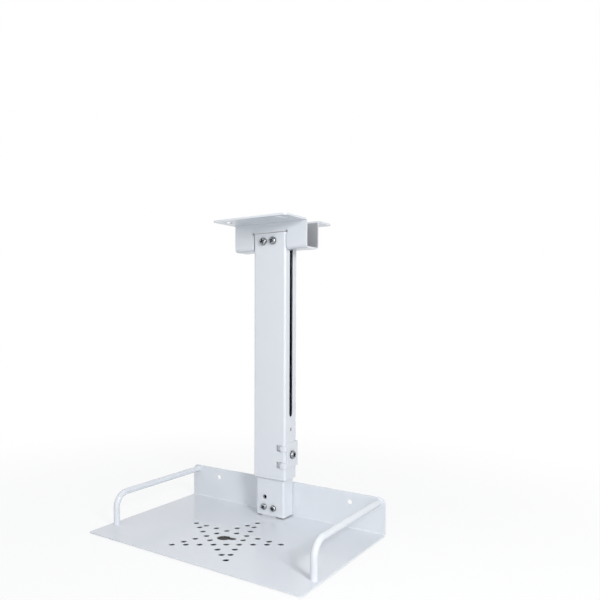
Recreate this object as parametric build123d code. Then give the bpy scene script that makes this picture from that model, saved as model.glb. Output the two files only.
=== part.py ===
from build123d import *
import math
import os

# Height-adjustable ceiling mount with a projector tray, in millimetres.
# +Z is up, +X runs along the tray's width and +Y goes back, towards the tray's upstand.
# The origin lies on the ceiling face, midway between the two front fixing slots,
# and the mount is drawn pushed up as far as it goes.

# Ceiling bracket: a hat-shaped channel, open at both ends
bracket_width = 112.0
bracket_height = 38.0
bracket_sheet = 2.5
flange_bend = 1.0
channel_bend = 3.0
bracket_corner = 4.0
front_flange_reach = 51.0
rear_flange_reach = 36.5
front_slot_inset = 16.0
fixing_spacing = 80.0
front_slot_length = 17.0
front_slot_width = 7.0
front_slot_angle = 45.0
rear_hole_inset = 20.0
rear_hole_diameter = 8.0
notch_height = 23.5
notch_clearance = 1.0
notch_relief_diameter = 4.0

# Outer tube, bolted into the channel
outer_width = 50.0
outer_depth = 30.0
outer_wall = 1.5
outer_corner = 3.0
tube_top_gap = 0.5
side_slot_width = 7.5
side_slot_top_inset = 14.0
side_slot_above_clip = 34.25
dimple_diameter = 4.5
dimple_depth = 1.0
dimple_above_clip = 17.0

# Inner tube, which carries the tray and slides in the outer one
travel = 269.0
slide_gap_x = 1.5
slide_gap_y = 1.0
inner_wall = 1.5
inner_corner = 2.5
bolt_headroom = 5.5
slot_bridge = 4.0
slot_side_gap = 4.0
slot_corner = 2.0
stop_clearance = 1.0
pilot_hole_diameter = 6.5
tab_pilot_diameter = 4.5
pilot_hole_height = 26.0
pilot_hole_shift = 1.0

# Clamp clip hooked over the right side of the outer tube, and its screw
clip_sheet = 2.0
clip_gap = 0.1
clip_height = 33.5
clip_above_tube_end = 16.75
clip_plate_inset = 3.0
strap_height = 7.0
strap_reach = 7.5
upper_strap_drop = 4.0
window_clearance = 0.6
window_width = 8.4
hook_overhang = 0.3
hook_bend = 0.5

adjuster_diameter = 6.0
adjuster_head_diameter = 11.5
adjuster_head_height = 4.0
adjuster_running_gap = 0.05
adjuster_tail = 1.5
clamp_nut_width = 18.0
clamp_nut_length = 20.0
clamp_nut_thickness = 5.0
clamp_nut_corner = 2.0
clamp_nut_chamfer = 0.4
clamp_nut_gap = 0.3

# Bolts, screws and nuts
bolt_diameter = 6.0
bolt_head_diameter = 10.5
bolt_head_height = 4.0
bolt_drop = 25.5
bolt_nut_flats = 10.0
bolt_nut_height = 5.0
bolt_tail = 2.0
screw_diameter = 5.0
screw_head_diameter = 8.5
screw_head_height = 3.3
screw_height = 12.6
screw_nut_flats = 8.0
screw_nut_height = 4.0
screw_tail = 1.5
fixing_pitch = 15.0
fixing_shift = -2.0
shank_clearance = 0.25

# Tray: a folded sheet with an upstand along its back edge
tray_width = 308.0
tray_depth = 209.5
tray_sheet = 1.5
tray_bend = 1.5
tray_corner = 3.0
upstand_height = 46.0
upstand_corner = 8.0
tube_foot_gap = 1.5
tray_gap = 53.0
wall_hole_inset = 48.5
wall_hole_height = 33.0
wall_hole_diameter = 6.0
tab_width = 22.0
tab_height = 32.0
tab_relief = 0.5

# Star of holes in the tray, with a keyhole at its middle
star_forward_shift = 7.0
star_tip_radius = 68.35
star_tips = 5
star_hole_diameter = 7.5
key_eye_diameter = 17.0
key_eye_shift = -3.5
key_slot_width = 9.0
key_slot_end = 8.0
key_angle = 18.0

# Side rails: round rod, welded to the tray floor and to the upstand
rail_diameter = 8.0
rail_side_inset = 8.5
rail_foot_inset = 40.0
rail_drop = 6.0
rail_bend = 18.0

# Places worked out from the sizes above
channel_front = front_flange_reach - front_slot_inset
tube_y = channel_front + outer_depth / 2
tube_front = tube_y - outer_depth / 2
tube_back = tube_y + outer_depth / 2
bracket_front = -front_slot_inset
bracket_back = tube_back + bracket_sheet + rear_flange_reach
notch_top = notch_height - bracket_height
outer_top = notch_top - tube_top_gap

inner_width = outer_width - 2 * outer_wall - 2 * slide_gap_x
inner_depth = outer_depth - 2 * outer_wall - 2 * slide_gap_y
inner_front = tube_y - inner_depth / 2
inner_back = tube_y + inner_depth / 2
inner_top = -bolt_drop - bolt_diameter / 2 - bolt_headroom
inner_slot_width = adjuster_diameter + 2 * slot_side_gap
inner_slot_top = inner_top - slot_bridge
adjuster_z = inner_slot_top - travel - stop_clearance - adjuster_diameter / 2
inner_slot_bottom = adjuster_z - adjuster_diameter / 2 - stop_clearance
clip_top = adjuster_z + clip_height / 2
clip_bottom = clip_top - clip_height
hook_depth = outer_wall + hook_overhang
outer_bottom = clip_bottom - clip_above_tube_end
side_slot_top = outer_top - side_slot_top_inset
side_slot_bottom = clip_top + side_slot_above_clip

tray_top = outer_bottom - tray_gap
inner_bottom = tray_top + tube_foot_gap
tray_front = inner_back + tray_sheet - tray_depth
rail_height = upstand_height - rail_drop
wall_hole_spacing = tray_width - 2 * wall_hole_inset
star_y = (tray_front + inner_front) / 2 - star_forward_shift
star_root_radius = star_tip_radius * (3 - math.sqrt(5)) / 2

fixing_xs = [fixing_shift - fixing_pitch / 2, fixing_shift + fixing_pitch / 2]
side_x = {"left": -1, "right": 1}


def bent_sheet(points, sheet, inside_radii):
    """Section of a sheet with square folds: its thickness lies to the right of the path."""
    path = [Vector(*p) for p in points]
    steps = [(b - a).normalized() for a, b in zip(path, path[1:])]
    rights = [Vector(s.Y, -s.X) for s in steps]
    far = [path[0] + rights[0] * sheet]
    far += [p + (a + b) * sheet for p, a, b in zip(path[1:], rights, rights[1:])]
    far.append(path[-1] + rights[-1] * sheet)
    section = make_face(Polyline(*path, *reversed(far), close=True))
    for near_point, far_point, a, b, radius in zip(path[1:], far[1:], steps, steps[1:], inside_radii):
        turns_left = a.cross(b).Z > 0
        inner, outer = (near_point, far_point) if turns_left else (far_point, near_point)
        section = round_corner(section, inner, radius)
        section = round_corner(section, outer, radius + sheet)
    return section


def round_corner(section, point, radius):
    """Rounds the section's corner that lies at the point."""
    return fillet(section.vertices().sort_by_distance(point)[0], radius)


def along_x(section, x_low, x_high):
    """Extrudes a section drawn in Y and Z from one X to another."""
    return extrude(Plane.YZ.offset(x_low) * section, amount=x_high - x_low)


def along_y(section, y_low, y_high):
    """Extrudes a section drawn in X and Z from one Y to another."""
    return extrude(Plane.XZ.offset(-y_high) * section, amount=y_high - y_low)


def along_z(section, z_low, z_high):
    """Extrudes a section drawn in X and Y from one Z to another."""
    return extrude(Plane.XY.offset(z_low) * section, amount=z_high - z_low)


def box_tube(width, depth, wall, corner, z_low, z_high):
    """Rectangular tube with rounded edges, centred on the tubes' axis."""
    ring = RectangleRounded(width, depth, corner)
    ring -= RectangleRounded(width - 2 * wall, depth - 2 * wall, corner - wall)
    return along_z(Pos(0, tube_y) * ring, z_low, z_high)


def pan_screw(head_diameter, head_height, shank_diameter, shank_length):
    """Cross-recessed pan-head screw: seat at the origin, head up and shank down."""
    head = Cylinder(head_diameter / 2, head_height, align=(Align.CENTER, Align.CENTER, Align.MIN))
    head = fillet(head.edges().sort_by(Axis.Z)[-1], head_height * 0.6)
    arm = head_diameter * 0.5
    slit = head_diameter * 0.13
    recess_depth = head_height * 0.5
    seat = Pos(0, 0, head_height - recess_depth)
    up = (Align.CENTER, Align.CENTER, Align.MIN)
    head -= seat * Box(arm, slit, head_height, align=up)
    head -= seat * Box(slit, arm, head_height, align=up)
    shank = Cylinder(shank_diameter / 2, shank_length, align=(Align.CENTER, Align.CENTER, Align.MAX))
    shank = chamfer(shank.edges().sort_by(Axis.Z)[0], shank_diameter * 0.1)
    return head + shank


def hex_nut(flats, height, bore):
    """Hexagon nut standing on the origin, with chamfered corners."""
    nut = extrude(RegularPolygon(flats / 2, 6, major_radius=False) - Circle(bore / 2), amount=height)
    cone = Cylinder(flats / math.sqrt(3), height, align=(Align.CENTER, Align.CENTER, Align.MIN))
    cone = chamfer(cone.edges().filter_by(GeomType.CIRCLE), flats * 0.07)
    return nut & cone


def facing_front(x, y, z):
    """Place whose up direction points to the front, out of a front face."""
    return Pos(x, y, z) * Rot(90, 0, 0)


def facing_back(x, y, z):
    """Place whose up direction points back, out of a rear face."""
    return Pos(x, y, z) * Rot(-90, 0, 0)


def fixing_holes(diameter, z, y_low, y_high):
    """The pair of holes for the bolts or screws that run front to back."""
    holes = [Pos(x, z) * Circle(diameter / 2) for x in fixing_xs]
    return along_y(Sketch() + holes, y_low, y_high)


def pilot_hole(diameter, y_low, y_high):
    """The single hole above the tray's screws."""
    place = Pos(fixing_xs[0] + pilot_hole_shift, tray_top + pilot_hole_height)
    return along_y(place * Circle(diameter / 2), y_low, y_high)


def ceiling_bracket():
    """Hat-shaped channel with the notch that the outer tube hangs in."""
    web = bracket_height - bracket_sheet
    inside_front = tube_front + bracket_sheet
    path = [
        (bracket_front, 0),
        (inside_front, 0),
        (inside_front, -web),
        (tube_back, -web),
        (tube_back, 0),
        (bracket_back, 0),
    ]
    radii = [flange_bend, channel_bend, channel_bend, flange_bend]
    hat = along_x(bent_sheet(path, bracket_sheet, radii), -bracket_width / 2, bracket_width / 2)
    length = bracket_back - bracket_front
    plan = Pos(0, (bracket_front + bracket_back) / 2) * RectangleRounded(bracket_width, length, bracket_corner)
    hat &= along_z(plan, -bracket_height, 0)
    notch_width = outer_width + 2 * notch_clearance
    middle = (notch_top - bracket_height) / 2
    notch = Pos(0, middle) * Rectangle(notch_width, bracket_height + notch_top)
    relief = Circle(notch_relief_diameter / 2)
    notch += [Pos(side * notch_width / 2, notch_top) * relief for side in (-1, 1)]
    hat -= along_y(notch, tube_front - bracket_sheet, tube_back)
    for side in (-1, 1):
        slot = SlotOverall(front_slot_length, front_slot_width, rotation=side * front_slot_angle)
        hat -= along_z(Pos(side * fixing_spacing / 2, 0) * slot, -bracket_sheet, 0)
        hole = Pos(side * fixing_spacing / 2, bracket_back - rear_hole_inset) * Circle(rear_hole_diameter / 2)
        hat -= along_z(hole, -bracket_sheet, 0)
    return hat - fixing_holes(
        bolt_diameter + 2 * shank_clearance, -bolt_drop, tube_back, tube_back + bracket_sheet
    )


def outer_tube():
    """Outer tube with its side slot, a punched dimple, the clamp's windows and the bolt holes."""
    tube = box_tube(outer_width, outer_depth, outer_wall, outer_corner, outer_bottom, outer_top)
    right = outer_width / 2
    inside = right - 2 * outer_wall
    slot = SlotOverall(side_slot_top - side_slot_bottom, side_slot_width, rotation=90)
    tube -= along_x(Pos(tube_y, (side_slot_top + side_slot_bottom) / 2) * slot, inside, right)
    dimple_radius = (dimple_diameter**2 / 4 + dimple_depth**2) / (2 * dimple_depth)
    dimple_place = Pos(right - dimple_depth + dimple_radius, tube_y, clip_top + dimple_above_clip)
    tube -= dimple_place * Sphere(dimple_radius)
    bore = adjuster_diameter + 2 * adjuster_running_gap
    tube -= along_x(Pos(tube_y, adjuster_z) * Circle(bore / 2), inside, right)
    hook_x = right - strap_reach
    window_x = hook_x + clip_sheet + window_clearance - window_width / 2
    for z in strap_heights():
        window = Pos(window_x, z) * Rectangle(window_width, strap_height + 2 * window_clearance)
        tube -= along_y(window, tube_front, tube_back)
    return tube - fixing_holes(bolt_diameter + 2 * shank_clearance, -bolt_drop, tube_front, tube_back)


def strap_heights():
    """Heights of the middles of the clip's two straps."""
    half = strap_height / 2
    return [clip_top - upper_strap_drop - half, clip_bottom + half]


def clamp_clip():
    """Folded clip: a plate on the tube's side whose straps wrap both corners and hook into the windows."""
    face = outer_width / 2 + clip_gap
    reach = face - clip_gap - strap_reach
    half = outer_depth / 2 + clip_gap
    tip = half - hook_depth - clip_gap
    path = [
        (reach, tube_y + tip),
        (reach, tube_y + half + clip_sheet),
        (face + clip_sheet, tube_y + half + clip_sheet),
        (face + clip_sheet, tube_y - half - clip_sheet),
        (reach, tube_y - half - clip_sheet),
        (reach, tube_y - tip),
    ]
    radii = [hook_bend, outer_corner - clip_sheet, outer_corner - clip_sheet, hook_bend]
    clip = along_z(bent_sheet(path, clip_sheet, radii), clip_bottom, clip_top)
    plate_half = outer_depth / 2 - clip_plate_inset
    upper, lower = strap_heights()
    waste = Rectangle(outer_width, outer_depth)
    front_waste = Pos(face, tube_y - plate_half - outer_depth / 2) * waste
    back_waste = Pos(-outer_corner, tube_y + plate_half + outer_depth / 2) * waste
    gaps = [(upper + strap_height / 2, clip_top), (lower + strap_height / 2, upper - strap_height / 2)]
    for low, high in gaps:
        clip -= along_z(front_waste + back_waste, low, high)
    bore = adjuster_diameter + 2 * adjuster_running_gap
    return clip - along_x(Pos(tube_y, adjuster_z) * Circle(bore / 2), face, face + clip_sheet)


def clamp_seat():
    """X of the clip's outer face, under the adjusting screw's head."""
    return outer_width / 2 + clip_gap + clip_sheet


def nut_seat():
    """X of the clamp nut's outer face, just inside the inner tube's wall."""
    return inner_width / 2 - inner_wall - clamp_nut_gap


def adjustment_screw():
    """Screw through the clip, both tubes and the clamp nut."""
    length = clamp_seat() - nut_seat() + clamp_nut_thickness + adjuster_tail
    screw = pan_screw(adjuster_head_diameter, adjuster_head_height, adjuster_diameter, length)
    return Pos(clamp_seat(), tube_y, adjuster_z) * Rot(0, 90, 0) * screw


def clamp_nut():
    """Plate nut inside the inner tube: the adjusting screw draws it against the edges of the tube's slot."""
    outline = RectangleRounded(clamp_nut_length, clamp_nut_width, clamp_nut_corner)
    bore = adjuster_diameter + 2 * adjuster_running_gap
    plate = extrude(outline - Circle(bore / 2), amount=clamp_nut_thickness)
    rims = plate.edges().group_by(Axis.Z)
    plate = chamfer(rims[0] + rims[-1], clamp_nut_chamfer)
    return Pos(nut_seat(), tube_y, adjuster_z) * Rot(0, -90, 0) * plate


def bracket_bolt(x):
    """Bolt that goes through the outer tube and the channel's rear web."""
    length = outer_depth + bracket_sheet + bolt_nut_height + bolt_tail
    bolt = pan_screw(bolt_head_diameter, bolt_head_height, bolt_diameter, length)
    return facing_front(x, tube_front, -bolt_drop) * bolt


def bracket_nut(x):
    """Nut behind the channel's rear web."""
    nut = hex_nut(bolt_nut_flats, bolt_nut_height, bolt_diameter + 2 * shank_clearance)
    return facing_back(x, tube_back + bracket_sheet, -bolt_drop) * nut


def inner_tube():
    """Inner tube with the slot that the adjusting screw runs in."""
    tube = box_tube(inner_width, inner_depth, inner_wall, inner_corner, inner_bottom, inner_top)
    right = inner_width / 2
    slot = RectangleRounded(inner_slot_width, inner_slot_top - inner_slot_bottom, slot_corner)
    slot_middle = (inner_slot_top + inner_slot_bottom) / 2
    tube -= along_x(Pos(tube_y, slot_middle) * slot, right - 2 * inner_wall, right)
    front_wall = (inner_front, inner_front + inner_wall)
    tube -= pilot_hole(pilot_hole_diameter, *front_wall)
    return tube - fixing_holes(screw_diameter + 2 * shank_clearance, tray_top + screw_height, *front_wall)


def tray_screw(x):
    """Screw through the inner tube's front wall and the tray's tab."""
    length = inner_wall + tray_sheet + screw_nut_height + screw_tail
    screw = pan_screw(screw_head_diameter, screw_head_height, screw_diameter, length)
    return facing_front(x, inner_front, tray_top + screw_height) * screw


def tray_nut(x):
    """Nut behind the tray's tab, inside the inner tube."""
    nut = hex_nut(screw_nut_flats, screw_nut_height, screw_diameter + 2 * shank_clearance)
    return facing_back(x, inner_front + inner_wall + tray_sheet, tray_top + screw_height) * nut


def star_holes():
    """Places of the star's holes: tips, roots, two on each arm's edge and one between two roots."""
    turn = 2 * math.pi / star_tips
    top = math.pi / 2
    tips = [Vector(math.cos(a), math.sin(a)) * star_tip_radius for a in (top + turn * i for i in range(star_tips))]
    roots = [
        Vector(math.cos(a), math.sin(a)) * star_root_radius
        for a in (top + turn * (i + 0.5) for i in range(star_tips))
    ]
    places = tips + roots
    for i, tip in enumerate(tips):
        for root in (roots[i], roots[i - 1]):
            places += [tip + (root - tip) * share for share in (1 / 3, 2 / 3)]
        places.append((roots[i] + roots[i - 1]) * 0.5)
    return places


def keyhole():
    """Keyhole at the star's middle: a round eye that runs out into a slot."""
    eye = Pos(key_eye_shift, 0) * Circle(key_eye_diameter / 2)
    neck = Pos((key_eye_shift + key_slot_end) / 2, 0) * Rectangle(key_slot_end - key_eye_shift, key_slot_width)
    end = Pos(key_slot_end, 0) * Circle(key_slot_width / 2)
    return Pos(0, star_y) * Rot(0, 0, key_angle) * (eye + neck + end)


def tray():
    """Tray floor with its upstand, the star of holes and the tab that the tube is screwed to."""
    floor = tray_top - tray_sheet
    section = bent_sheet(
        [(tray_front, tray_top), (inner_back, tray_top), (inner_back, tray_top + upstand_height)],
        tray_sheet,
        [tray_bend],
    )
    body = along_x(section, -tray_width / 2, tray_width / 2)
    plan_middle = inner_back + tray_sheet - tray_depth / 2
    plan = Pos(0, plan_middle) * RectangleRounded(tray_width, tray_depth, tray_corner)
    floor_shape = along_z(plan, floor, tray_top)
    front_strip = along_z(Pos(0, tray_front) * Rectangle(tray_width, 4 * tray_corner), floor, tray_top)
    body -= front_strip - floor_shape
    upstand_full = Pos(0, tray_top) * Rectangle(tray_width, 2 * upstand_height)
    upstand_shape = Pos(0, tray_top) * RectangleRounded(tray_width, 2 * upstand_height, upstand_corner)
    above = Pos(0, tray_top + upstand_height) * Rectangle(tray_width, upstand_height)
    body -= along_y((upstand_full - upstand_shape) & above, inner_back, inner_back + tray_sheet)
    for place in star_holes():
        hole = Pos(place.X, star_y + place.Y) * Circle(star_hole_diameter / 2)
        body -= along_z(hole, floor, tray_top)
    body -= along_z(keyhole(), floor, tray_top)
    for side in (-1, 1):
        hole = Pos(side * wall_hole_spacing / 2, tray_top + wall_hole_height) * Circle(wall_hole_diameter / 2)
        body -= along_y(hole, inner_back, inner_back + tray_sheet)
    tab_front = inner_front + inner_wall
    window_front = tab_front - tray_bend
    window_depth = tab_height + tray_bend
    window_place = Pos(fixing_shift, window_front + window_depth / 2)
    window = window_place * Rectangle(tab_width + 2 * tab_relief, window_depth)
    body -= along_z(window, floor, tray_top)
    tab = bent_sheet(
        [(window_front - tray_sheet, tray_top), (tab_front, tray_top), (tab_front, tray_top + tab_height)],
        tray_sheet,
        [tray_bend],
    )
    body += along_x(tab, fixing_shift - tab_width / 2, fixing_shift + tab_width / 2)
    tab_wall = (tab_front, tab_front + tray_sheet)
    body -= pilot_hole(tab_pilot_diameter, *tab_wall)
    return body - fixing_holes(screw_diameter + 2 * shank_clearance, tray_top + screw_height, *tab_wall)


def rail(side):
    """Bent rod along one side of the tray, from the floor to the upstand."""
    x = side * (tray_width / 2 - rail_side_inset)
    foot_y = tray_front + rail_foot_inset
    path = FilletPolyline(
        (x, foot_y, tray_top),
        (x, foot_y, tray_top + rail_height),
        (x, inner_back, tray_top + rail_height),
        radius=rail_bend,
    )
    return sweep(Plane((x, foot_y, tray_top)) * Circle(rail_diameter / 2), path)


nodes = {
    "ceiling_bracket": ceiling_bracket(),
    "outer_tube": outer_tube(),
    "clamp_clip": clamp_clip(),
    "clamp_nut": clamp_nut(),
    "adjustment_screw": adjustment_screw(),
    "inner_tube": inner_tube(),
    "tray": tray(),
}
for name, side in side_x.items():
    x = fixing_xs[0] if side < 0 else fixing_xs[1]
    nodes[name + "_bracket_bolt"] = bracket_bolt(x)
    nodes[name + "_bracket_nut"] = bracket_nut(x)
    nodes[name + "_tray_screw"] = tray_screw(x)
    nodes[name + "_tray_nut"] = tray_nut(x)
    nodes[name + "_rail"] = rail(side)

os.makedirs("parts", exist_ok=True)
for name, shape in nodes.items():
    export_step(shape, f"parts/{name}.step")
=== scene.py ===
"""Looks and studio for a height-adjustable ceiling mount with a projector tray."""

import math

import bmesh
import bpy
from bpy.props import FloatProperty, FloatVectorProperty, IntProperty, PointerProperty
from mathutils import Matrix, Vector


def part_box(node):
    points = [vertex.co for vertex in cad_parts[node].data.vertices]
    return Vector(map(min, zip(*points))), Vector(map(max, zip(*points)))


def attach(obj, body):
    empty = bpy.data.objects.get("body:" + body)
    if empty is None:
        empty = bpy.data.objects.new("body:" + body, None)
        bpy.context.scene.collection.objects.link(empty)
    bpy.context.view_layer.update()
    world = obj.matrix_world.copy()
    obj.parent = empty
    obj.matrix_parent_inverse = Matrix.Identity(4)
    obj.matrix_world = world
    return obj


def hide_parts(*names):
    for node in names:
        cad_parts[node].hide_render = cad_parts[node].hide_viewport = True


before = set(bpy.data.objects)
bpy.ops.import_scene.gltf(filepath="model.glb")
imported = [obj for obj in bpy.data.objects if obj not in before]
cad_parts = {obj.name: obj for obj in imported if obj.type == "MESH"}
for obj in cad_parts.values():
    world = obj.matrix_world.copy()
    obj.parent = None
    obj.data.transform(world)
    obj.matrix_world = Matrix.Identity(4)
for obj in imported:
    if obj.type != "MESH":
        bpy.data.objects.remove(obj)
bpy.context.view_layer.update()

bl_info = {
    "name": "Projector ceiling mount",
    "version": (1, 0, 0),
    "blender": (4, 5, 0),
    "location": "3D View > Sidebar > Mount",
    "description": "Powder coat, fasteners and studio for a ceiling mount with a tray",
    "category": "Object",
}

MM = 0.001

# Sizes and places on the imported parts that their boxes don't give. A reach goes from the middle of
# a hole, slot or dimple to about its edge, and a reach inwards takes in all its painted shade.
BRACKET_SHEET = 2.5 * MM
TUBE_WALL = 1.5 * MM
DIMPLE_ABOVE_CLIP = 17.0 * MM
DIMPLE_REACH = 2.2 * MM
DIMPLE_REACH_INWARDS = 2.0 * MM
SIDE_SLOT_ABOVE_CLIP = 34.0 * MM
SIDE_SLOT_BELOW_TOP = 13.8 * MM
SIDE_SLOT_REACH = 3.8 * MM
SIDE_SLOT_COATED_RIM = 0.3 * MM
PILOT_HOLE_X = -8.5 * MM
PILOT_HOLE_ABOVE_UNDERSIDE = 27.5 * MM
PILOT_HOLE_REACH = 3.4 * MM
PILOT_HOLE_REACH_INWARDS = 8.0 * MM

RAILS = ("left_rail", "right_rail")
NUTS = ("left_bracket_nut", "right_bracket_nut", "left_tray_nut", "right_tray_nut", "clamp_nut")

# Shank radius, head height and thread pitch of the two sizes of screw
M6 = (3.0 * MM, 4.0 * MM, 1.0 * MM)
M5 = (2.5 * MM, 3.3 * MM, 0.8 * MM)
TO_FRONT, TO_RIGHT = (0, -1, 0), (1, 0, 0)

# Node, body, size, the way the head faces, and the degrees that its recess is turned by
SCREWS = (
    ("left_bracket_bolt", "ceiling_part", M6, TO_FRONT, 20),
    ("right_bracket_bolt", "ceiling_part", M6, TO_FRONT, 62),
    ("left_tray_screw", "tray_part", M5, TO_FRONT, 35),
    ("right_tray_screw", "tray_part", M5, TO_FRONT, 8),
    ("adjustment_screw", "screw_part", M6, TO_RIGHT, 30),
)

# Section of a rail's joint fillet, in shares of its size: out from the rod, and up from the sheet.
# What is below 0 lies inside the rod or the sheet.
FILLET_SECTION = (
    (-0.3, -0.2), (-0.3, 1.0), (0.0, 1.0), (0.12, 0.55), (0.32, 0.32), (0.55, 0.12), (1.0, 0.0),
    (1.0, -0.2))
FILLET_POINTS_ROUND = 64

# New meshes are smooth up to this angle between two faces.
SHARP_ANGLE = math.radians(35)

# The floor counts as covered from this far inside the tray's edge.
COVER_INSET = 4 * MM
# Axis, middle and reach of the floor under the keyhole, from the tray's middle
KEYHOLE_FLOOR = (("X", 2 * MM, 19 * MM), ("Y", -20.5 * MM, 16 * MM))

LIGHT_TARGET = Vector((0.0, 0.03, -0.22))
# Name, place from the target, width, height, and whether reflections show it
LIGHTS = (
    ("key", Vector((0.80, -0.498, 0.41)), 0.22, 0.22, True),
    ("strip", Vector((0.874, -0.485, 0.06)) * 1.1, 0.15, 0.5, True),
    ("fill", Vector((0.2, -0.98, 0.1)) * 1.4, 1.0, 0.7, True),
    ("rim", Vector((-0.6, -0.65, 0.46)) * 1.5, 0.4, 0.4, True),
    ("back", Vector((-0.35, 0.95, 0.12)) * 1.5, 1.4, 0.8, False),
)

CAMERA_PLACE = (0.4462, -0.6600, -0.1265)
CAMERA_DIP_DEGREES = 2.25
CAMERA_HEADING_DEGREES = 35.95
CAMERA_SHIFT = (0.1096, 0.0686)


def linear(code):
    """Turns an sRGB hex code into linear red, green and blue."""
    parts = [int(code[i:i + 2], 16) / 255 for i in (0, 2, 4)]
    return [p / 12.92 if p <= 0.04045 else ((p + 0.055) / 1.055) ** 2.4 for p in parts]


def opaque(colour, share=1.0):
    """The colour, made lighter or darker by a share, with full opacity."""
    return (*(min(1.0, c * share) for c in colour), 1.0)


def add_node(tree, kind, inputs=None, **settings):
    """Adds a node, sets its properties, and fills or links its inputs."""
    node = tree.nodes.new(kind)
    for name, value in settings.items():
        setattr(node, name, value)
    for key, value in (inputs or {}).items():
        if isinstance(value, bpy.types.NodeSocket):
            tree.links.new(value, node.inputs[key])
        else:
            node.inputs[key].default_value = value
    return node


def empty_tree(owner):
    """Node tree of a new material or world, without the nodes that it comes with."""
    owner.use_nodes = True
    owner.node_tree.nodes.clear()
    return owner.node_tree


class CoatSettings(bpy.types.PropertyGroup):
    """Colour and surface of the powder coat."""

    colour: FloatVectorProperty(
        name="Coat colour", description="Colour of the powder coat", subtype="COLOR",
        size=3, min=0, max=1, default=linear("dfe3e8"))
    roughness: FloatProperty(
        name="Roughness", description="Roughness of the coat's satin surface",
        subtype="FACTOR", min=0, max=1, default=0.20)
    peel_size: FloatProperty(
        name="Orange peel size", description="Distance between the coat's shallow waves",
        unit="LENGTH", min=0.0002, default=2.6 * MM)
    peel_depth: FloatProperty(
        name="Orange peel depth", description="Height of the coat's shallow waves",
        unit="LENGTH", min=0, default=0.008 * MM)
    edge_radius: FloatProperty(
        name="Edge radius", description="How far the coat rounds a cut edge",
        unit="LENGTH", min=0, default=0.35 * MM)
    # Bare steel and painted shade: the steel inside the tubes and on the slot's cut edge is painted
    # nearly black to stand in for the shade in the tube.
    bare_steel_and_shade_colour: FloatVectorProperty(
        name="Bare steel colour", description="Colour of the steel inside the tubes",
        subtype="COLOR", size=3, min=0, max=1, default=linear("0a0a0b"))
    # Painted shade: this grey stands in for the shade in the bracket's channel, behind the pilot hole
    # and in the dimple.
    painted_shade_colour: FloatVectorProperty(
        name="Thin coat colour",
        description="Colour of the coat in deep recesses, where little powder settles",
        subtype="COLOR", size=3, min=0, max=1, default=linear("a4a6aa"))
    fillet: FloatProperty(
        name="Joint fillet", description="Size of the coated fillet where a rail meets the tray",
        unit="LENGTH", min=0, default=0.5 * MM)


class FastenerSettings(bpy.types.PropertyGroup):
    """Colour and shape of the screws, bolts and nuts."""

    colour: FloatVectorProperty(
        name="Zinc colour", description="Colour of the zinc plating", subtype="COLOR",
        size=3, min=0, max=1, default=linear("a4a7ab"))
    # Painted shade: the near-black colour that the zinc turns where the ambient occlusion finds recesses
    # and corners.
    recess_shade_colour: FloatVectorProperty(
        name="Soil colour",
        description="Colour of the zinc in recesses and corners, where oil and dust stay",
        subtype="COLOR", size=3, min=0, max=1, default=linear("17181a"))
    # Painted shade: how near two faces have to be for the painted shade between them.
    shade_reach: FloatProperty(
        name="Soil reach",
        description="How near two faces have to be for oil and dust to stay between them",
        unit="LENGTH", min=0.0001, default=3.0 * MM)
    roughness: FloatProperty(
        name="Roughness", description="Roughness of the zinc plating",
        subtype="FACTOR", min=0, max=1, default=0.26)
    recess_reach: FloatProperty(
        name="Recess reach", description="Length of a recess arm, as a share of the head's radius",
        subtype="FACTOR", min=0.2, max=0.8, default=0.62)
    recess_width: FloatProperty(
        name="Recess width", description="Width of a recess arm, as a share of the head's diameter",
        subtype="FACTOR", min=0.05, max=0.3, default=0.19)
    recess_depth: FloatProperty(
        name="Recess depth", description="Depth of the recess, as a share of the head's height",
        subtype="FACTOR", min=0.2, max=0.9, default=0.72)
    thread_share: FloatProperty(
        name="Thread depth", description="Depth of the thread, as a share of its pitch",
        subtype="FACTOR", min=0, max=0.9, default=0.6)
    segments: IntProperty(
        name="Segments", description="Faces round a screw", min=16, max=128, default=48)


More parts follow.
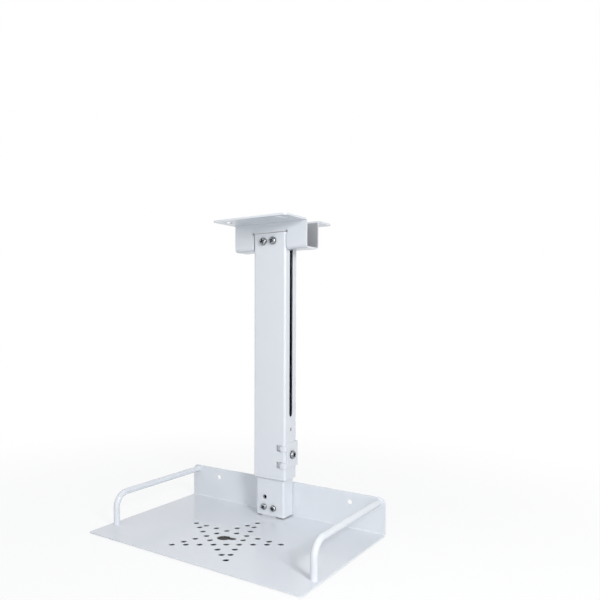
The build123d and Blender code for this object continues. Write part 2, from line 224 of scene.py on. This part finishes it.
class StudioSettings(bpy.types.PropertyGroup):
    """Floor, lights and camera."""

    floor_colour: FloatVectorProperty(
        name="Floor colour", description="Colour of the plain floor", subtype="COLOR",
        size=3, min=0, max=1, default=linear("f4f6f8"))
    bounce_colour: FloatVectorProperty(
        name="Bounce colour", description="Colour that the floor sends back up to the mount",
        subtype="COLOR", size=3, min=0, max=1, default=linear("cacccd"))
    # Painted shade: the floor under the tray is painted dark, so that the tray's holes and keyhole look
    # dark.
    keyhole_shade_colour: FloatVectorProperty(
        name="Under colour", description="Colour of the floor seen through the tray's keyhole",
        subtype="COLOR", size=3, min=0, max=1, default=linear("5c5a56"))
    hole_shade_colour: FloatVectorProperty(
        name="Dark colour",
        description="Colour of the floor under the small holes, which let in less light",
        subtype="COLOR", size=3, min=0, max=1, default=linear("1c1e22"))
    floor_gap: FloatProperty(
        name="Floor gap", description="Distance from the tray down to the floor",
        unit="LENGTH", min=0, default=1.0 * MM)
    floor_white: FloatProperty(
        name="Floor white", description="Share of plain white in the floor beside the mount",
        subtype="FACTOR", min=0, max=1, default=0.82)
    ambient: FloatProperty(
        name="Ambient", description="Strength of the light from the sides and below",
        min=0, default=0.16)
    overhead: FloatProperty(
        name="Overhead", description="Strength of the light from straight above",
        min=0, default=0.72)
    key_power: FloatProperty(
        name="Key power", description="Power of the high light at the right",
        unit="POWER", min=0, default=4.7)
    strip_power: FloatProperty(
        name="Strip power", description="Power of the low upright light at the right",
        unit="POWER", min=0, default=2.0)
    fill_power: FloatProperty(
        name="Fill power", description="Power of the wide light at the front",
        unit="POWER", min=0, default=3.8)
    rim_power: FloatProperty(
        name="Rim power", description="Power of the small light at the left",
        unit="POWER", min=0, default=1.6)
    back_power: FloatProperty(
        name="Back power", description="Power of the wide low light behind",
        unit="POWER", min=0, default=6.0)
    lens: FloatProperty(
        name="Lens", description="Focal length on a 36 mm sensor", unit="CAMERA", min=10, default=37.0)


class MountSettings(bpy.types.PropertyGroup):
    """All the settings of the ceiling mount."""

    coat: PointerProperty(type=CoatSettings)
    fasteners: PointerProperty(type=FastenerSettings)
    studio: PointerProperty(type=StudioSettings)


def settings():
    """The settings of this scene's ceiling mount."""
    return bpy.context.scene.ceiling_mount


# Polyester powder coat, sprayed dry and baked on steel sheet. It gives the eye a dense, even
# white with a soft sheen, shallow waves like orange peel, and rounded bright edges.
def coat_shader(tree, coat, recess=0.0):
    """Shader of the powder coat, in coordinates fixed to the part, with painted shade where recess is 1.
    """
    place = add_node(tree, "ShaderNodeTexCoord").outputs["Object"]
    # The real waves are about 1 mm apart, too fine for a picture of the whole mount, so they
    # are drawn as coarse as the setting says.
    peel = add_node(tree, "ShaderNodeTexNoise", {
        "Vector": place, "Scale": 1 / coat.peel_size, "Detail": 1.0, "Roughness": 0.4})
    bump = add_node(tree, "ShaderNodeBump", {
        "Height": peel.outputs["Fac"], "Strength": 1.0, "Distance": coat.peel_depth})
    # The film is a little thicker in some places than in others, over some 40 mm.
    film = add_node(tree, "ShaderNodeTexNoise", {
        "Vector": place, "Scale": 1 / (40 * MM), "Detail": 2.0, "Roughness": 0.5})
    shade = add_node(tree, "ShaderNodeMix", {
        "Factor": film.outputs["Fac"], "A": opaque(coat.colour, 0.965), "B": opaque(coat.colour)},
        data_type="RGBA")
    # Painted shade: where recess is 1 the coat takes the grey painted-shade colour.
    painted_shade_mix = add_node(tree, "ShaderNodeMix", {
        "Factor": recess, "A": shade.outputs["Result"], "B": opaque(coat.painted_shade_colour)}, data_type="RGBA")
    shader = add_node(tree, "ShaderNodeBsdfPrincipled", {
        "Base Color": painted_shade_mix.outputs["Result"], "Roughness": coat.roughness, "IOR": 1.5,
        "Normal": bump.outputs["Normal"]})
    return shader.outputs["BSDF"]


def powder_coat(name, coat):
    """Powder coat for parts that are coated all over."""
    material = bpy.data.materials.new(name)
    tree = empty_tree(material)
    add_node(tree, "ShaderNodeOutputMaterial", {"Surface": coat_shader(tree, coat)})
    return material


def span(axis, start, end):
    """Axis, middle and reach of a stretch from start to end."""
    return axis, (start + end) / 2, abs(end - start) / 2


def within(tree, spans):
    """1 where the point, in the object's own coordinates, lies inside each (axis, middle, reach)."""
    place = add_node(tree, "ShaderNodeTexCoord").outputs["Object"]
    parts = add_node(tree, "ShaderNodeSeparateXYZ", {"Vector": place})
    inside = 1.0
    for axis, middle, reach in spans:
        near = add_node(tree, "ShaderNodeMath", {
            0: parts.outputs[axis], 1: middle, 2: reach}, operation="COMPARE")
        inside = add_node(tree, "ShaderNodeMath", {
            0: near.outputs[0], 1: inside}, operation="MULTIPLY").outputs[0]
    return inside


# The same coat with painted shade: a grey colour where a fold or a tube shields the sheet, which stands
# in for the shade there. It gives the eye a grey recess in a white part.
def coat_with_painted_shade(name, coat, painted_shade_spans):
    """Powder coat with painted shade, a grey colour, inside the given spans."""
    material = bpy.data.materials.new(name)
    tree = empty_tree(material)
    shader = coat_shader(tree, coat, within(tree, painted_shade_spans))
    add_node(tree, "ShaderNodeOutputMaterial", {"Surface": shader})
    return material


def channel_spans():
    """The inside of the bracket's channel, between its two webs and above its floor."""
    low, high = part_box("ceiling_bracket")
    tube_low, tube_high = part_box("outer_tube")
    # The spans go a little into the sheet, so that they take in its surface.
    skin = 0.05 * BRACKET_SHEET
    return (
        span("Y", tube_low.y + BRACKET_SHEET - skin, tube_high.y + skin),
        span("Z", low.z + BRACKET_SHEET - skin, high.z))


def pilot_hole_spans():
    """The tray's tab where it shows through the inner tube's pilot hole."""
    hole_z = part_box("tray")[0].z + PILOT_HOLE_ABOVE_UNDERSIDE
    tube_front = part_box("inner_tube")[0].y
    return (
        span("X", PILOT_HOLE_X - PILOT_HOLE_REACH, PILOT_HOLE_X + PILOT_HOLE_REACH),
        span("Z", hole_z - PILOT_HOLE_REACH, hole_z + PILOT_HOLE_REACH),
        span("Y", tube_front, tube_front + PILOT_HOLE_REACH_INWARDS))


def dimple_spans():
    """The dimple in the outer tube's right side."""
    clip_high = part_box("clamp_clip")[1]
    tube_low, tube_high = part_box("outer_tube")
    return (
        ("X", tube_high.x, DIMPLE_REACH_INWARDS),
        ("Y", (tube_low.y + tube_high.y) / 2, DIMPLE_REACH),
        ("Z", clip_high.z + DIMPLE_ABOVE_CLIP, DIMPLE_REACH))


def side_slot_spans():
    """The cut edge of the outer tube's side slot, from below its eased rim inwards."""
    clip_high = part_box("clamp_clip")[1]
    tube_low, tube_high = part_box("outer_tube")
    return (
        span("X", tube_high.x - TUBE_WALL, tube_high.x - SIDE_SLOT_COATED_RIM),
        ("Y", (tube_low.y + tube_high.y) / 2, SIDE_SLOT_REACH),
        span("Z", clip_high.z + SIDE_SLOT_ABOVE_CLIP, tube_high.z - SIDE_SLOT_BELOW_TOP))


# Cold-rolled steel tube, coated outside and bare inside. The bare steel inside and on the cut edge of
# the slot is painted nearly black, which stands in for the shade in the tube, and the dimple gets
# painted shade too. It gives the eye black slots in a white tube.
def coated_tube(name, coat, node, painted_shade_spans, edge_spans):
    """Powder coat outside a tube, with painted shade in its recess, and bare steel painted nearly black,
    as shade, inside it and on its cut edge.
    """
    material = bpy.data.materials.new(name)
    tree = empty_tree(material)
    low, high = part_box(node)
    middle = (low + high) / 2
    half = (high - low) / 2
    # The outer part of the wall's thickness counts as coated, the rest and the inside as bare.
    coated_share = 0.7
    inside = within(tree, (
        ("X", middle.x, half.x - coated_share * TUBE_WALL),
        ("Y", middle.y, half.y - coated_share * TUBE_WALL)))
    if edge_spans:
        inside = add_node(tree, "ShaderNodeMath", {
            0: inside, 1: within(tree, edge_spans)}, operation="MAXIMUM").outputs[0]
    # The steel is stained in patches of some 3 mm.
    place = add_node(tree, "ShaderNodeTexCoord").outputs["Object"]
    stain = add_node(tree, "ShaderNodeTexNoise", {
        "Vector": place, "Scale": 1 / (3 * MM), "Detail": 2.0})
    stained = add_node(tree, "ShaderNodeMix", {
        "Factor": stain.outputs["Fac"], "A": opaque(coat.bare_steel_and_shade_colour, 0.8),
        "B": opaque(coat.bare_steel_and_shade_colour, 1.2)}, data_type="RGBA")
    steel = add_node(tree, "ShaderNodeBsdfPrincipled", {
        "Base Color": stained.outputs["Result"], "Metallic": 0.3, "Roughness": 0.6})
    coating = coat_shader(tree, coat, within(tree, painted_shade_spans) if painted_shade_spans else 0.0)
    mix = add_node(tree, "ShaderNodeMixShader", {0: inside, 1: coating, 2: steel.outputs["BSDF"]})
    add_node(tree, "ShaderNodeOutputMaterial", {"Surface": mix.outputs["Shader"]})
    return material


# Zinc-plated steel, cold-headed and passivated. It gives the eye a bright grey metal with a
# faintly mottled sheen, and painted shade, nearly black, in the recesses and corners.
def zinc_plated_steel(name, fasteners):
    """Zinc plating of the screws, bolts and nuts."""
    material = bpy.data.materials.new(name)
    tree = empty_tree(material)
    place = add_node(tree, "ShaderNodeTexCoord").outputs["Object"]
    # The mottles of the plating are some 1.5 mm across.
    mottle = add_node(tree, "ShaderNodeTexNoise", {
        "Vector": place, "Scale": 1 / (1.5 * MM), "Detail": 3.0, "Roughness": 0.6})
    shade = add_node(tree, "ShaderNodeMix", {
        "Factor": mottle.outputs["Fac"], "A": opaque(fasteners.colour, 0.78),
        "B": opaque(fasteners.colour)}, data_type="RGBA")
    # Painted shade: the recesses and corners that the ambient occlusion finds are darkened to near
    # black.
    corner = add_node(tree, "ShaderNodeAmbientOcclusion", {"Distance": fasteners.shade_reach}, samples=8)
    open_face = add_node(tree, "ShaderNodeMapRange", {
        "Value": corner.outputs["AO"], "From Min": 0.45, "From Max": 0.95})
    shaded_zinc = add_node(tree, "ShaderNodeMix", {
        "Factor": open_face.outputs["Result"], "A": opaque(fasteners.recess_shade_colour),
        "B": shade.outputs["Result"]}, data_type="RGBA")
    rough = add_node(tree, "ShaderNodeMapRange", {
        "Value": mottle.outputs["Fac"], "To Min": fasteners.roughness * 0.8,
        "To Max": fasteners.roughness * 1.3})
    shader = add_node(tree, "ShaderNodeBsdfPrincipled", {
        "Base Color": shaded_zinc.outputs["Result"], "Metallic": 1.0, "Roughness": rough.outputs["Result"]})
    add_node(tree, "ShaderNodeOutputMaterial", {"Surface": shader.outputs["BSDF"]})
    return material


def kept_material(name, make, group):
    """The material of that name, made from its settings the first time it is asked for."""
    return bpy.data.materials.get(name) or make(name, group)


def coat_material():
    """The powder coat of the parts that are coated all over."""
    return kept_material("polyester_powder_coat_satin", powder_coat, settings().coat)


def zinc_material():
    """The zinc plating that all screws, bolts and nuts share."""
    return kept_material("zinc_plated_steel_bright", zinc_plated_steel, settings().fasteners)


def dress(node, material):
    """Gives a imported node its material."""
    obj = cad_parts[node]
    for place in obj.material_slots:
        place.material = material
    return obj


def ease_edges(obj, radius):
    """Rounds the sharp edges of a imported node, without touching its own mesh."""
    weld = obj.modifiers.new("joined corners", "WELD")
    weld.merge_threshold = 0.002 * MM
    planes = obj.modifiers.new("whole faces", "DECIMATE")
    planes.decimate_type = "DISSOLVE"
    planes.angle_limit = math.radians(0.3)
    bevel = obj.modifiers.new("eased edges", "BEVEL")
    bevel.width = radius
    bevel.segments = 2
    bevel.limit_method = "ANGLE"
    bevel.angle_limit = math.radians(40)
    # Clamping would shrink the whole bevel to what the shortest edge of any small hole allows.
    bevel.use_clamp_overlap = False
    obj.modifiers.new("weighted normals", "WEIGHTED_NORMAL")


def finish_piece(obj, body, material):
    """Gives a new piece its material and links it to its body."""
    obj.data.materials.clear()
    obj.data.materials.append(material)
    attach(obj, body)


def mesh_object(name, bm):
    """Makes an object of a bmesh and smooths it up to its sharp edges."""
    mesh = bpy.data.meshes.new(name)
    bmesh.ops.recalc_face_normals(bm, faces=bm.faces)
    bm.to_mesh(mesh)
    bm.free()
    smooth(mesh)
    obj = bpy.data.objects.new(name, mesh)
    bpy.context.scene.collection.objects.link(obj)
    return obj


def smooth(mesh):
    """Shades the mesh smooth, except across its sharp edges."""
    mesh.shade_smooth()
    mesh.set_sharp_from_angle(angle=SHARP_ANGLE)


def stand_up(mesh, place, out, turn=0.0):
    """Turns a mesh about its own axis, points its up direction out, and moves it to its place."""
    facing = Vector(out).to_track_quat("Z", "Y").to_matrix().to_4x4()
    mesh.transform(Matrix.Translation(place) @ facing @ Matrix.Rotation(turn, 4, "Z"))


def close_rings(bm, rings):
    """Skins rings of vertices in order and closes both ends."""
    count = len(rings[0])
    for a, b in zip(rings, rings[1:]):
        for i in range(count):
            j = (i + 1) % count
            bm.faces.new((a[i], a[j], b[j], b[i]))
    bm.faces.new(rings[0])
    bm.faces.new(list(reversed(rings[-1])))


def cross_ring(bm, reach, width, height):
    """Ring of a cross with softened inner corners and blunt arms."""
    half = width / 2
    corner = 1.7 * half
    shoulder = 0.97 * reach
    tip = 0.5 * half
    quarter = [
        (shoulder, half), (corner, half), (half, corner), (half, shoulder), (tip, reach), (-tip, reach)]
    ring = []
    for turn in range(4):
        angle = turn * math.pi / 2
        c, s = math.cos(angle), math.sin(angle)
        ring += [bm.verts.new((x * c - y * s, x * s + y * c, height)) for x, y in quarter]
    return ring


def recess_cutter(head_radius, head_height, look):
    """Tapered cross that cuts the recess of a screw head."""
    bm = bmesh.new()
    reach = head_radius * look.recess_reach
    width = 2 * head_radius * look.recess_width
    depth = head_height * look.recess_depth
    # Share of the reach, share of the width, and height, from above the crown to the blunt point
    levels = [
        (1.06, 1.06, head_height * 1.05),
        (0.9, 0.98, head_height - depth * 0.45),
        (0.55, 0.8, head_height - depth),
        (0.2, 0.45, head_height - depth * 1.12),
    ]
    close_rings(bm, [cross_ring(bm, reach * r, width * w, z) for r, w, z in levels])
    return mesh_object("recess_cutter", bm)


def head_profile(radius, height):
    """Radius and height of a pan head from its crown down to its seat."""
    flat = 0.55 * radius
    shoulder_share, crown_share = 0.34, 0.975
    points = [(0.25 * radius, height), (flat, height * crown_share)]
    steps = 7
    for i in range(1, steps + 1):
        a = i / steps * math.pi / 2
        rise = shoulder_share + (crown_share - shoulder_share) * math.cos(a)
        points.append((flat + (radius - flat) * math.sin(a), height * rise))
    points += [(radius, height * 0.1), (radius * 0.97, 0.0)]
    return points


def threaded_rings(bm, radius, length, pitch, depth, segments):
    """Rings of a threaded shank from the seat down to its chamfered tip."""
    rings_per_pitch = 6
    count = max(4, round(length / pitch * rings_per_pitch))
    chamfer_length = 1.2 * pitch
    chamfer_depth = 0.18 * radius
    plain_neck = 0.8 * pitch
    rings = []
    for k in range(count + 1):
        z = -length * k / count
        tip = max(0.0, (-z - (length - chamfer_length)) / chamfer_length)
        neck = max(0.0, 1 - (-z) / plain_neck)
        ring = []
        for i in range(segments):
            angle = 2 * math.pi * i / segments
            phase = (z / pitch + i / segments) % 1.0
            crest = 1 - abs(2 * phase - 1)
            r = radius - depth * (1 - crest) * (1 - neck) - chamfer_depth * tip
            ring.append(bm.verts.new((r * math.cos(angle), r * math.sin(angle), z)))
        rings.append(ring)
    return rings


def screw_blank(name, head_radius, head_height, shank_radius, length, pitch, look):
    """Pan head and threaded shank, with the seat at the origin and the head up."""
    bm = bmesh.new()
    turns = [2 * math.pi * i / look.segments for i in range(look.segments)]
    rings = []
    for r, z in head_profile(head_radius, head_height):
        rings.append([bm.verts.new((r * math.cos(a), r * math.sin(a), z)) for a in turns])
    rings += threaded_rings(bm, shank_radius, length, pitch, pitch * look.thread_share, look.segments)
    close_rings(bm, rings)
    return mesh_object(name, bm)


def cut_out(obj, cutter):
    """Takes the cutter's form out of the object's mesh and deletes the cutter."""
    cut = obj.modifiers.new("recess", "BOOLEAN")
    cut.operation = "DIFFERENCE"
    cut.object = cutter
    cut.solver = "EXACT"
    bpy.context.view_layer.update()
    graph = bpy.context.evaluated_depsgraph_get()
    mesh = bpy.data.meshes.new_from_object(obj.evaluated_get(graph))
    obj.modifiers.clear()
    obj.data = mesh
    bpy.data.objects.remove(cutter)
    mesh.name = obj.name
    smooth(mesh)


def machine_screw(node, size, out, turn):
    """Pan-head screw with a cross recess and a real thread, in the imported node's place."""
    look = settings().fasteners
    shank_radius, head_height, pitch = size
    low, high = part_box(node)
    sides = high - low
    along = max(range(3), key=lambda i: abs(out[i]))
    seat = (low + high) / 2
    seat[along] = (high[along] if out[along] > 0 else low[along]) - out[along] * head_height
    # A screw is longer than its head is wide, so the box's middle size is the head's diameter.
    head_radius = sorted(sides)[1] / 2
    length = sides[along] - head_height
    obj = screw_blank(node + "_threaded", head_radius, head_height, shank_radius, length, pitch, look)
    cut_out(obj, recess_cutter(head_radius, head_height, look))
    stand_up(obj.data, seat, out, math.radians(turn))
    return obj


def joint_fillet(name, place, out, radius, size):
    """Small concave ring, a little uneven, where a round rod stands on a flat sheet."""
    bm = bmesh.new()
    rings = []
    for i in range(FILLET_POINTS_ROUND):
        angle = 2 * math.pi * i / FILLET_POINTS_ROUND
        # A slow and a quick wave round the rod make the coat in the corner a little uneven.
        swell = 1 + 0.12 * math.sin(9 * angle + 0.7) + 0.06 * math.sin(23 * angle)
        ring = []
        for outwards, up in FILLET_SECTION:
            r = radius + size * swell * outwards
            height = size * swell * up if up > 0 else size * up
            ring.append(bm.verts.new((r * math.cos(angle), r * math.sin(angle), height)))
        rings.append(ring)
    count = len(FILLET_SECTION)
    for first, second in zip(rings, rings[1:] + rings[:1]):
        for k in range(count):
            m = (k + 1) % count
            bm.faces.new((first[k], second[k], second[m], first[m]))
    obj = mesh_object(name, bm)
    stand_up(obj.data, place, out)
    return obj


class MOUNT_OT_flat_parts(bpy.types.Operator):
    """Coats the bracket, the clip and the tray, and rounds their cut edges"""

    bl_idname = "ceiling_mount.flat_parts"
    bl_label = "Bracket, clip and tray"

    def execute(self, context):
        coat = settings().coat
        # Node, coat, and share of the edge radius. The bracket's notch ends where its bend begins,
        # and only a small bevel fits there.
        rows = (
            ("ceiling_bracket", coat_with_painted_shade("powder_coated_channel", coat, channel_spans()), 0.4),
            ("clamp_clip", coat_material(), 1.0),
            ("tray", coat_with_painted_shade("powder_coated_tray", coat, pilot_hole_spans()), 1.0),
        )
        for node, material, share in rows:
            ease_edges(dress(node, material), share * coat.edge_radius)
        return {"FINISHED"}


class MOUNT_OT_tubes(bpy.types.Operator):
    """Coats both tubes outside and leaves bare steel inside, painted nearly black as shade"""

    bl_idname = "ceiling_mount.tubes"
    bl_label = "Tubes"

    def execute(self, context):
        coat = settings().coat
        # The tubes' edges are eased less than those of the flat parts.
        tube_share = 0.7
        rows = (("outer_tube", dimple_spans(), side_slot_spans()), ("inner_tube", (), ()))
        for node, painted_shade_spans, edge_spans in rows:
            material = coated_tube("powder_coated_" + node, coat, node, painted_shade_spans, edge_spans)
            ease_edges(dress(node, material), tube_share * coat.edge_radius)
        return {"FINISHED"}


class MOUNT_OT_rails(bpy.types.Operator):
    """Coats the two side rails and fills their joints with a small fillet"""

    bl_idname = "ceiling_mount.rails"
    bl_label = "Rails"

    def execute(self, context):
        for node in RAILS:
            dress(node, coat_material())
            low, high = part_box(node)
            radius = (high.x - low.x) / 2
            x = (high.x + low.x) / 2
            foot = Vector((x, low.y + radius, low.z))
            end = Vector((x, high.y, high.z - radius))
            for part, place, out in (("foot", foot, (0, 0, 1)), ("end", end, (0, -1, 0))):
                name = node + "_" + part + "_fillet"
                obj = joint_fillet(name, place, out, radius, settings().coat.fillet)
                finish_piece(obj, "tray_part", coat_material())
        return {"FINISHED"}


class MOUNT_OT_screws(bpy.types.Operator):
    """Makes the bolts and screws, with cross recesses and threads"""

    bl_idname = "ceiling_mount.screws"
    bl_label = "Bolts and screws"

    def execute(self, context):
        for node, body, size, out, turn in SCREWS:
            obj = machine_screw(node, size, out, turn)
            finish_piece(obj, body, zinc_material())
            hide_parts(node)
        return {"FINISHED"}


class MOUNT_OT_nuts(bpy.types.Operator):
    """Plates the nuts"""

    bl_idname = "ceiling_mount.nuts"
    bl_label = "Nuts"

    def execute(self, context):
        for node in NUTS:
            dress(node, zinc_material())
        return {"FINISHED"}


def sees_background(tree):
    """1 for camera, glossy and transmission rays, which see the plain white background."""
    path = add_node(tree, "ShaderNodeLightPath")
    seen = path.outputs["Is Camera Ray"]
    for name in ("Is Glossy Ray", "Is Transmission Ray"):
        seen = add_node(tree, "ShaderNodeMath", {
            0: seen, 1: path.outputs[name]}, operation="MAXIMUM").outputs[0]
    return seen


# Matt white paper under a bright light. It gives the eye a faint shadow round the mount and no horizon.
def floor_material(studio, half):
    """Pale floor that fades into the white background, with painted shade where the tray covers it."""
    material = bpy.data.materials.new("plain_pale_floor")
    tree = empty_tree(material)
    place = add_node(tree, "ShaderNodeTexCoord").outputs["Object"]
    # Painted shade: under the tray the floor is painted nearly black, and grey-brown under the keyhole,
    # which lets in more light.
    covered = within(tree, (("X", 0.0, half.x - COVER_INSET), ("Y", 0.0, half.y - COVER_INSET)))
    under = add_node(tree, "ShaderNodeMix", {
        "Factor": within(tree, KEYHOLE_FLOOR), "A": opaque(studio.hole_shade_colour),
        "B": opaque(studio.keyhole_shade_colour)}, data_type="RGBA")
    seen = sees_background(tree)
    far = add_node(tree, "ShaderNodeVectorMath", {0: place}, operation="LENGTH")
    fade = add_node(tree, "ShaderNodeMapRange", {
        "Value": far.outputs["Value"], "From Min": 0.25, "From Max": 0.8,
        "To Min": studio.floor_white, "To Max": 1.0}, interpolation_type="SMOOTHSTEP")
    uncovered = add_node(tree, "ShaderNodeMath", {0: 1.0, 1: covered}, operation="SUBTRACT")
    open_share = add_node(tree, "ShaderNodeMath", {
        0: fade.outputs["Result"], 1: uncovered.outputs[0]}, operation="MULTIPLY")
    share = add_node(tree, "ShaderNodeMath", {0: open_share.outputs[0], 1: seen}, operation="MULTIPLY")
    pale = add_node(tree, "ShaderNodeMix", {
        "Factor": seen, "A": opaque(studio.bounce_colour), "B": opaque(studio.floor_colour)},
        data_type="RGBA")
    colour = add_node(tree, "ShaderNodeMix", {
        "Factor": covered, "A": pale.outputs["Result"], "B": under.outputs["Result"]}, data_type="RGBA")
    matt = add_node(tree, "ShaderNodeBsdfDiffuse", {"Color": colour.outputs["Result"]})
    white = add_node(tree, "ShaderNodeEmission", {"Strength": 1.0})
    mix = add_node(tree, "ShaderNodeMixShader", {
        0: share.outputs[0], 1: matt.outputs["BSDF"], 2: white.outputs["Emission"]})
    # Seen from below, the floor is clear, so it doesn't hide the tray.
    side = add_node(tree, "ShaderNodeNewGeometry").outputs["Backfacing"]
    clear = add_node(tree, "ShaderNodeBsdfTransparent")
    one_sided = add_node(tree, "ShaderNodeMixShader", {
        0: side, 1: mix.outputs["Shader"], 2: clear.outputs["BSDF"]})
    add_node(tree, "ShaderNodeOutputMaterial", {"Surface": one_sided.outputs["Shader"]})
    return material


def lay_floor(studio):
    """Round floor just under the tray."""
    low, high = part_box("tray")
    middle = (low + high) / 2
    bm = bmesh.new()
    bmesh.ops.create_circle(bm, cap_ends=True, radius=4.0, segments=96)
    floor = mesh_object("floor", bm)
    floor.data.materials.append(floor_material(studio, (high - low) / 2))
    floor.location = (middle.x, middle.y, low.z - studio.floor_gap)
    # The floor goes down with the tray, so it is under the mount at every height.
    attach(floor, "tray_part")


def white_world(studio):
    """Plain white background, and soft light from all round, stronger overhead as in a light tent."""
    world = bpy.data.worlds.new("white_studio")
    tree = empty_tree(world)
    way = add_node(tree, "ShaderNodeTexCoord").outputs["Generated"]
    rise = add_node(tree, "ShaderNodeSeparateXYZ", {"Vector": way})
    tent = add_node(tree, "ShaderNodeMapRange", {
        "Value": rise.outputs["Z"], "To Min": studio.ambient, "To Max": studio.overhead})
    soft = add_node(tree, "ShaderNodeBackground", {
        "Color": opaque(linear("f8faff")), "Strength": tent.outputs["Result"]})
    white = add_node(tree, "ShaderNodeBackground", {"Color": (1, 1, 1, 1), "Strength": 1.0})
    mix = add_node(tree, "ShaderNodeMixShader", {
        0: sees_background(tree), 1: soft.outputs["Background"], 2: white.outputs["Background"]})
    add_node(tree, "ShaderNodeOutputWorld", {"Surface": mix.outputs["Shader"]})
    return world


def soft_light(name, place, power, width, height, in_reflections):
    """Rectangular area light turned to the lights' target."""
    lamp = bpy.data.lights.new(name, "AREA")
    lamp.shape = "RECTANGLE"
    lamp.size, lamp.size_y = width, height
    lamp.energy = power
    obj = bpy.data.objects.new(name, lamp)
    obj.location = place
    obj.rotation_mode = "QUATERNION"
    obj.rotation_quaternion = (LIGHT_TARGET - place).to_track_quat("-Z", "Y")
    obj.visible_glossy = in_reflections
    bpy.context.scene.collection.objects.link(obj)


def photo_camera(studio):
    """Camera that fits the mount's edges in the photograph."""
    camera = bpy.data.cameras.new("camera")
    camera.lens = studio.lens
    camera.sensor_width = 36
    camera.shift_x, camera.shift_y = CAMERA_SHIFT
    camera.clip_start, camera.clip_end = 0.01, 50
    eye = bpy.data.objects.new("camera", camera)
    eye.location = CAMERA_PLACE
    eye.rotation_euler = (math.radians(90 - CAMERA_DIP_DEGREES), 0, math.radians(CAMERA_HEADING_DEGREES))
    bpy.context.scene.collection.objects.link(eye)
    return eye


class MOUNT_OT_studio(bpy.types.Operator):
    """Makes the floor, the lights, the world and the camera"""

    bl_idname = "ceiling_mount.studio"
    bl_label = "Studio"

    def execute(self, context):
        studio = settings().studio
        scene = context.scene
        lay_floor(studio)
        scene.world = white_world(studio)
        for name, offset, width, height, in_reflections in LIGHTS:
            power = getattr(studio, name + "_power")
            soft_light(name, LIGHT_TARGET + offset, power, width, height, in_reflections)
        scene.camera = photo_camera(studio)
        scene.view_settings.view_transform = "Standard"
        return {"FINISHED"}


class MOUNT_PT_panel(bpy.types.Panel):
    """Lists the pieces of the ceiling mount"""

    bl_idname = "MOUNT_PT_panel"
    bl_label = "Ceiling mount"
    bl_space_type = "VIEW_3D"
    bl_region_type = "UI"
    bl_category = "Mount"

    def draw(self, context):
        for step in STEPS:
            self.layout.operator(step.bl_idname)
        for group in (settings().coat, settings().fasteners, settings().studio):
            box = self.layout.box()
            for name in group.bl_rna.properties.keys():
                if name not in ("rna_type", "name"):
                    box.prop(group, name)


STEPS = (
    MOUNT_OT_flat_parts, MOUNT_OT_tubes, MOUNT_OT_rails, MOUNT_OT_screws, MOUNT_OT_nuts, MOUNT_OT_studio)
CLASSES = (CoatSettings, FastenerSettings, StudioSettings, MountSettings, *STEPS, MOUNT_PT_panel)


def register():
    for cls in CLASSES:
        bpy.utils.register_class(cls)
    bpy.types.Scene.ceiling_mount = PointerProperty(type=MountSettings)


def unregister():
    del bpy.types.Scene.ceiling_mount
    for cls in reversed(CLASSES):
        bpy.utils.unregister_class(cls)


def main():
    """Registers the classes and makes every piece in order."""
    register()
    for step in STEPS:
        getattr(bpy.ops.ceiling_mount, step.bl_idname.split(".")[1])()


if __name__ == "__main__":
    main()
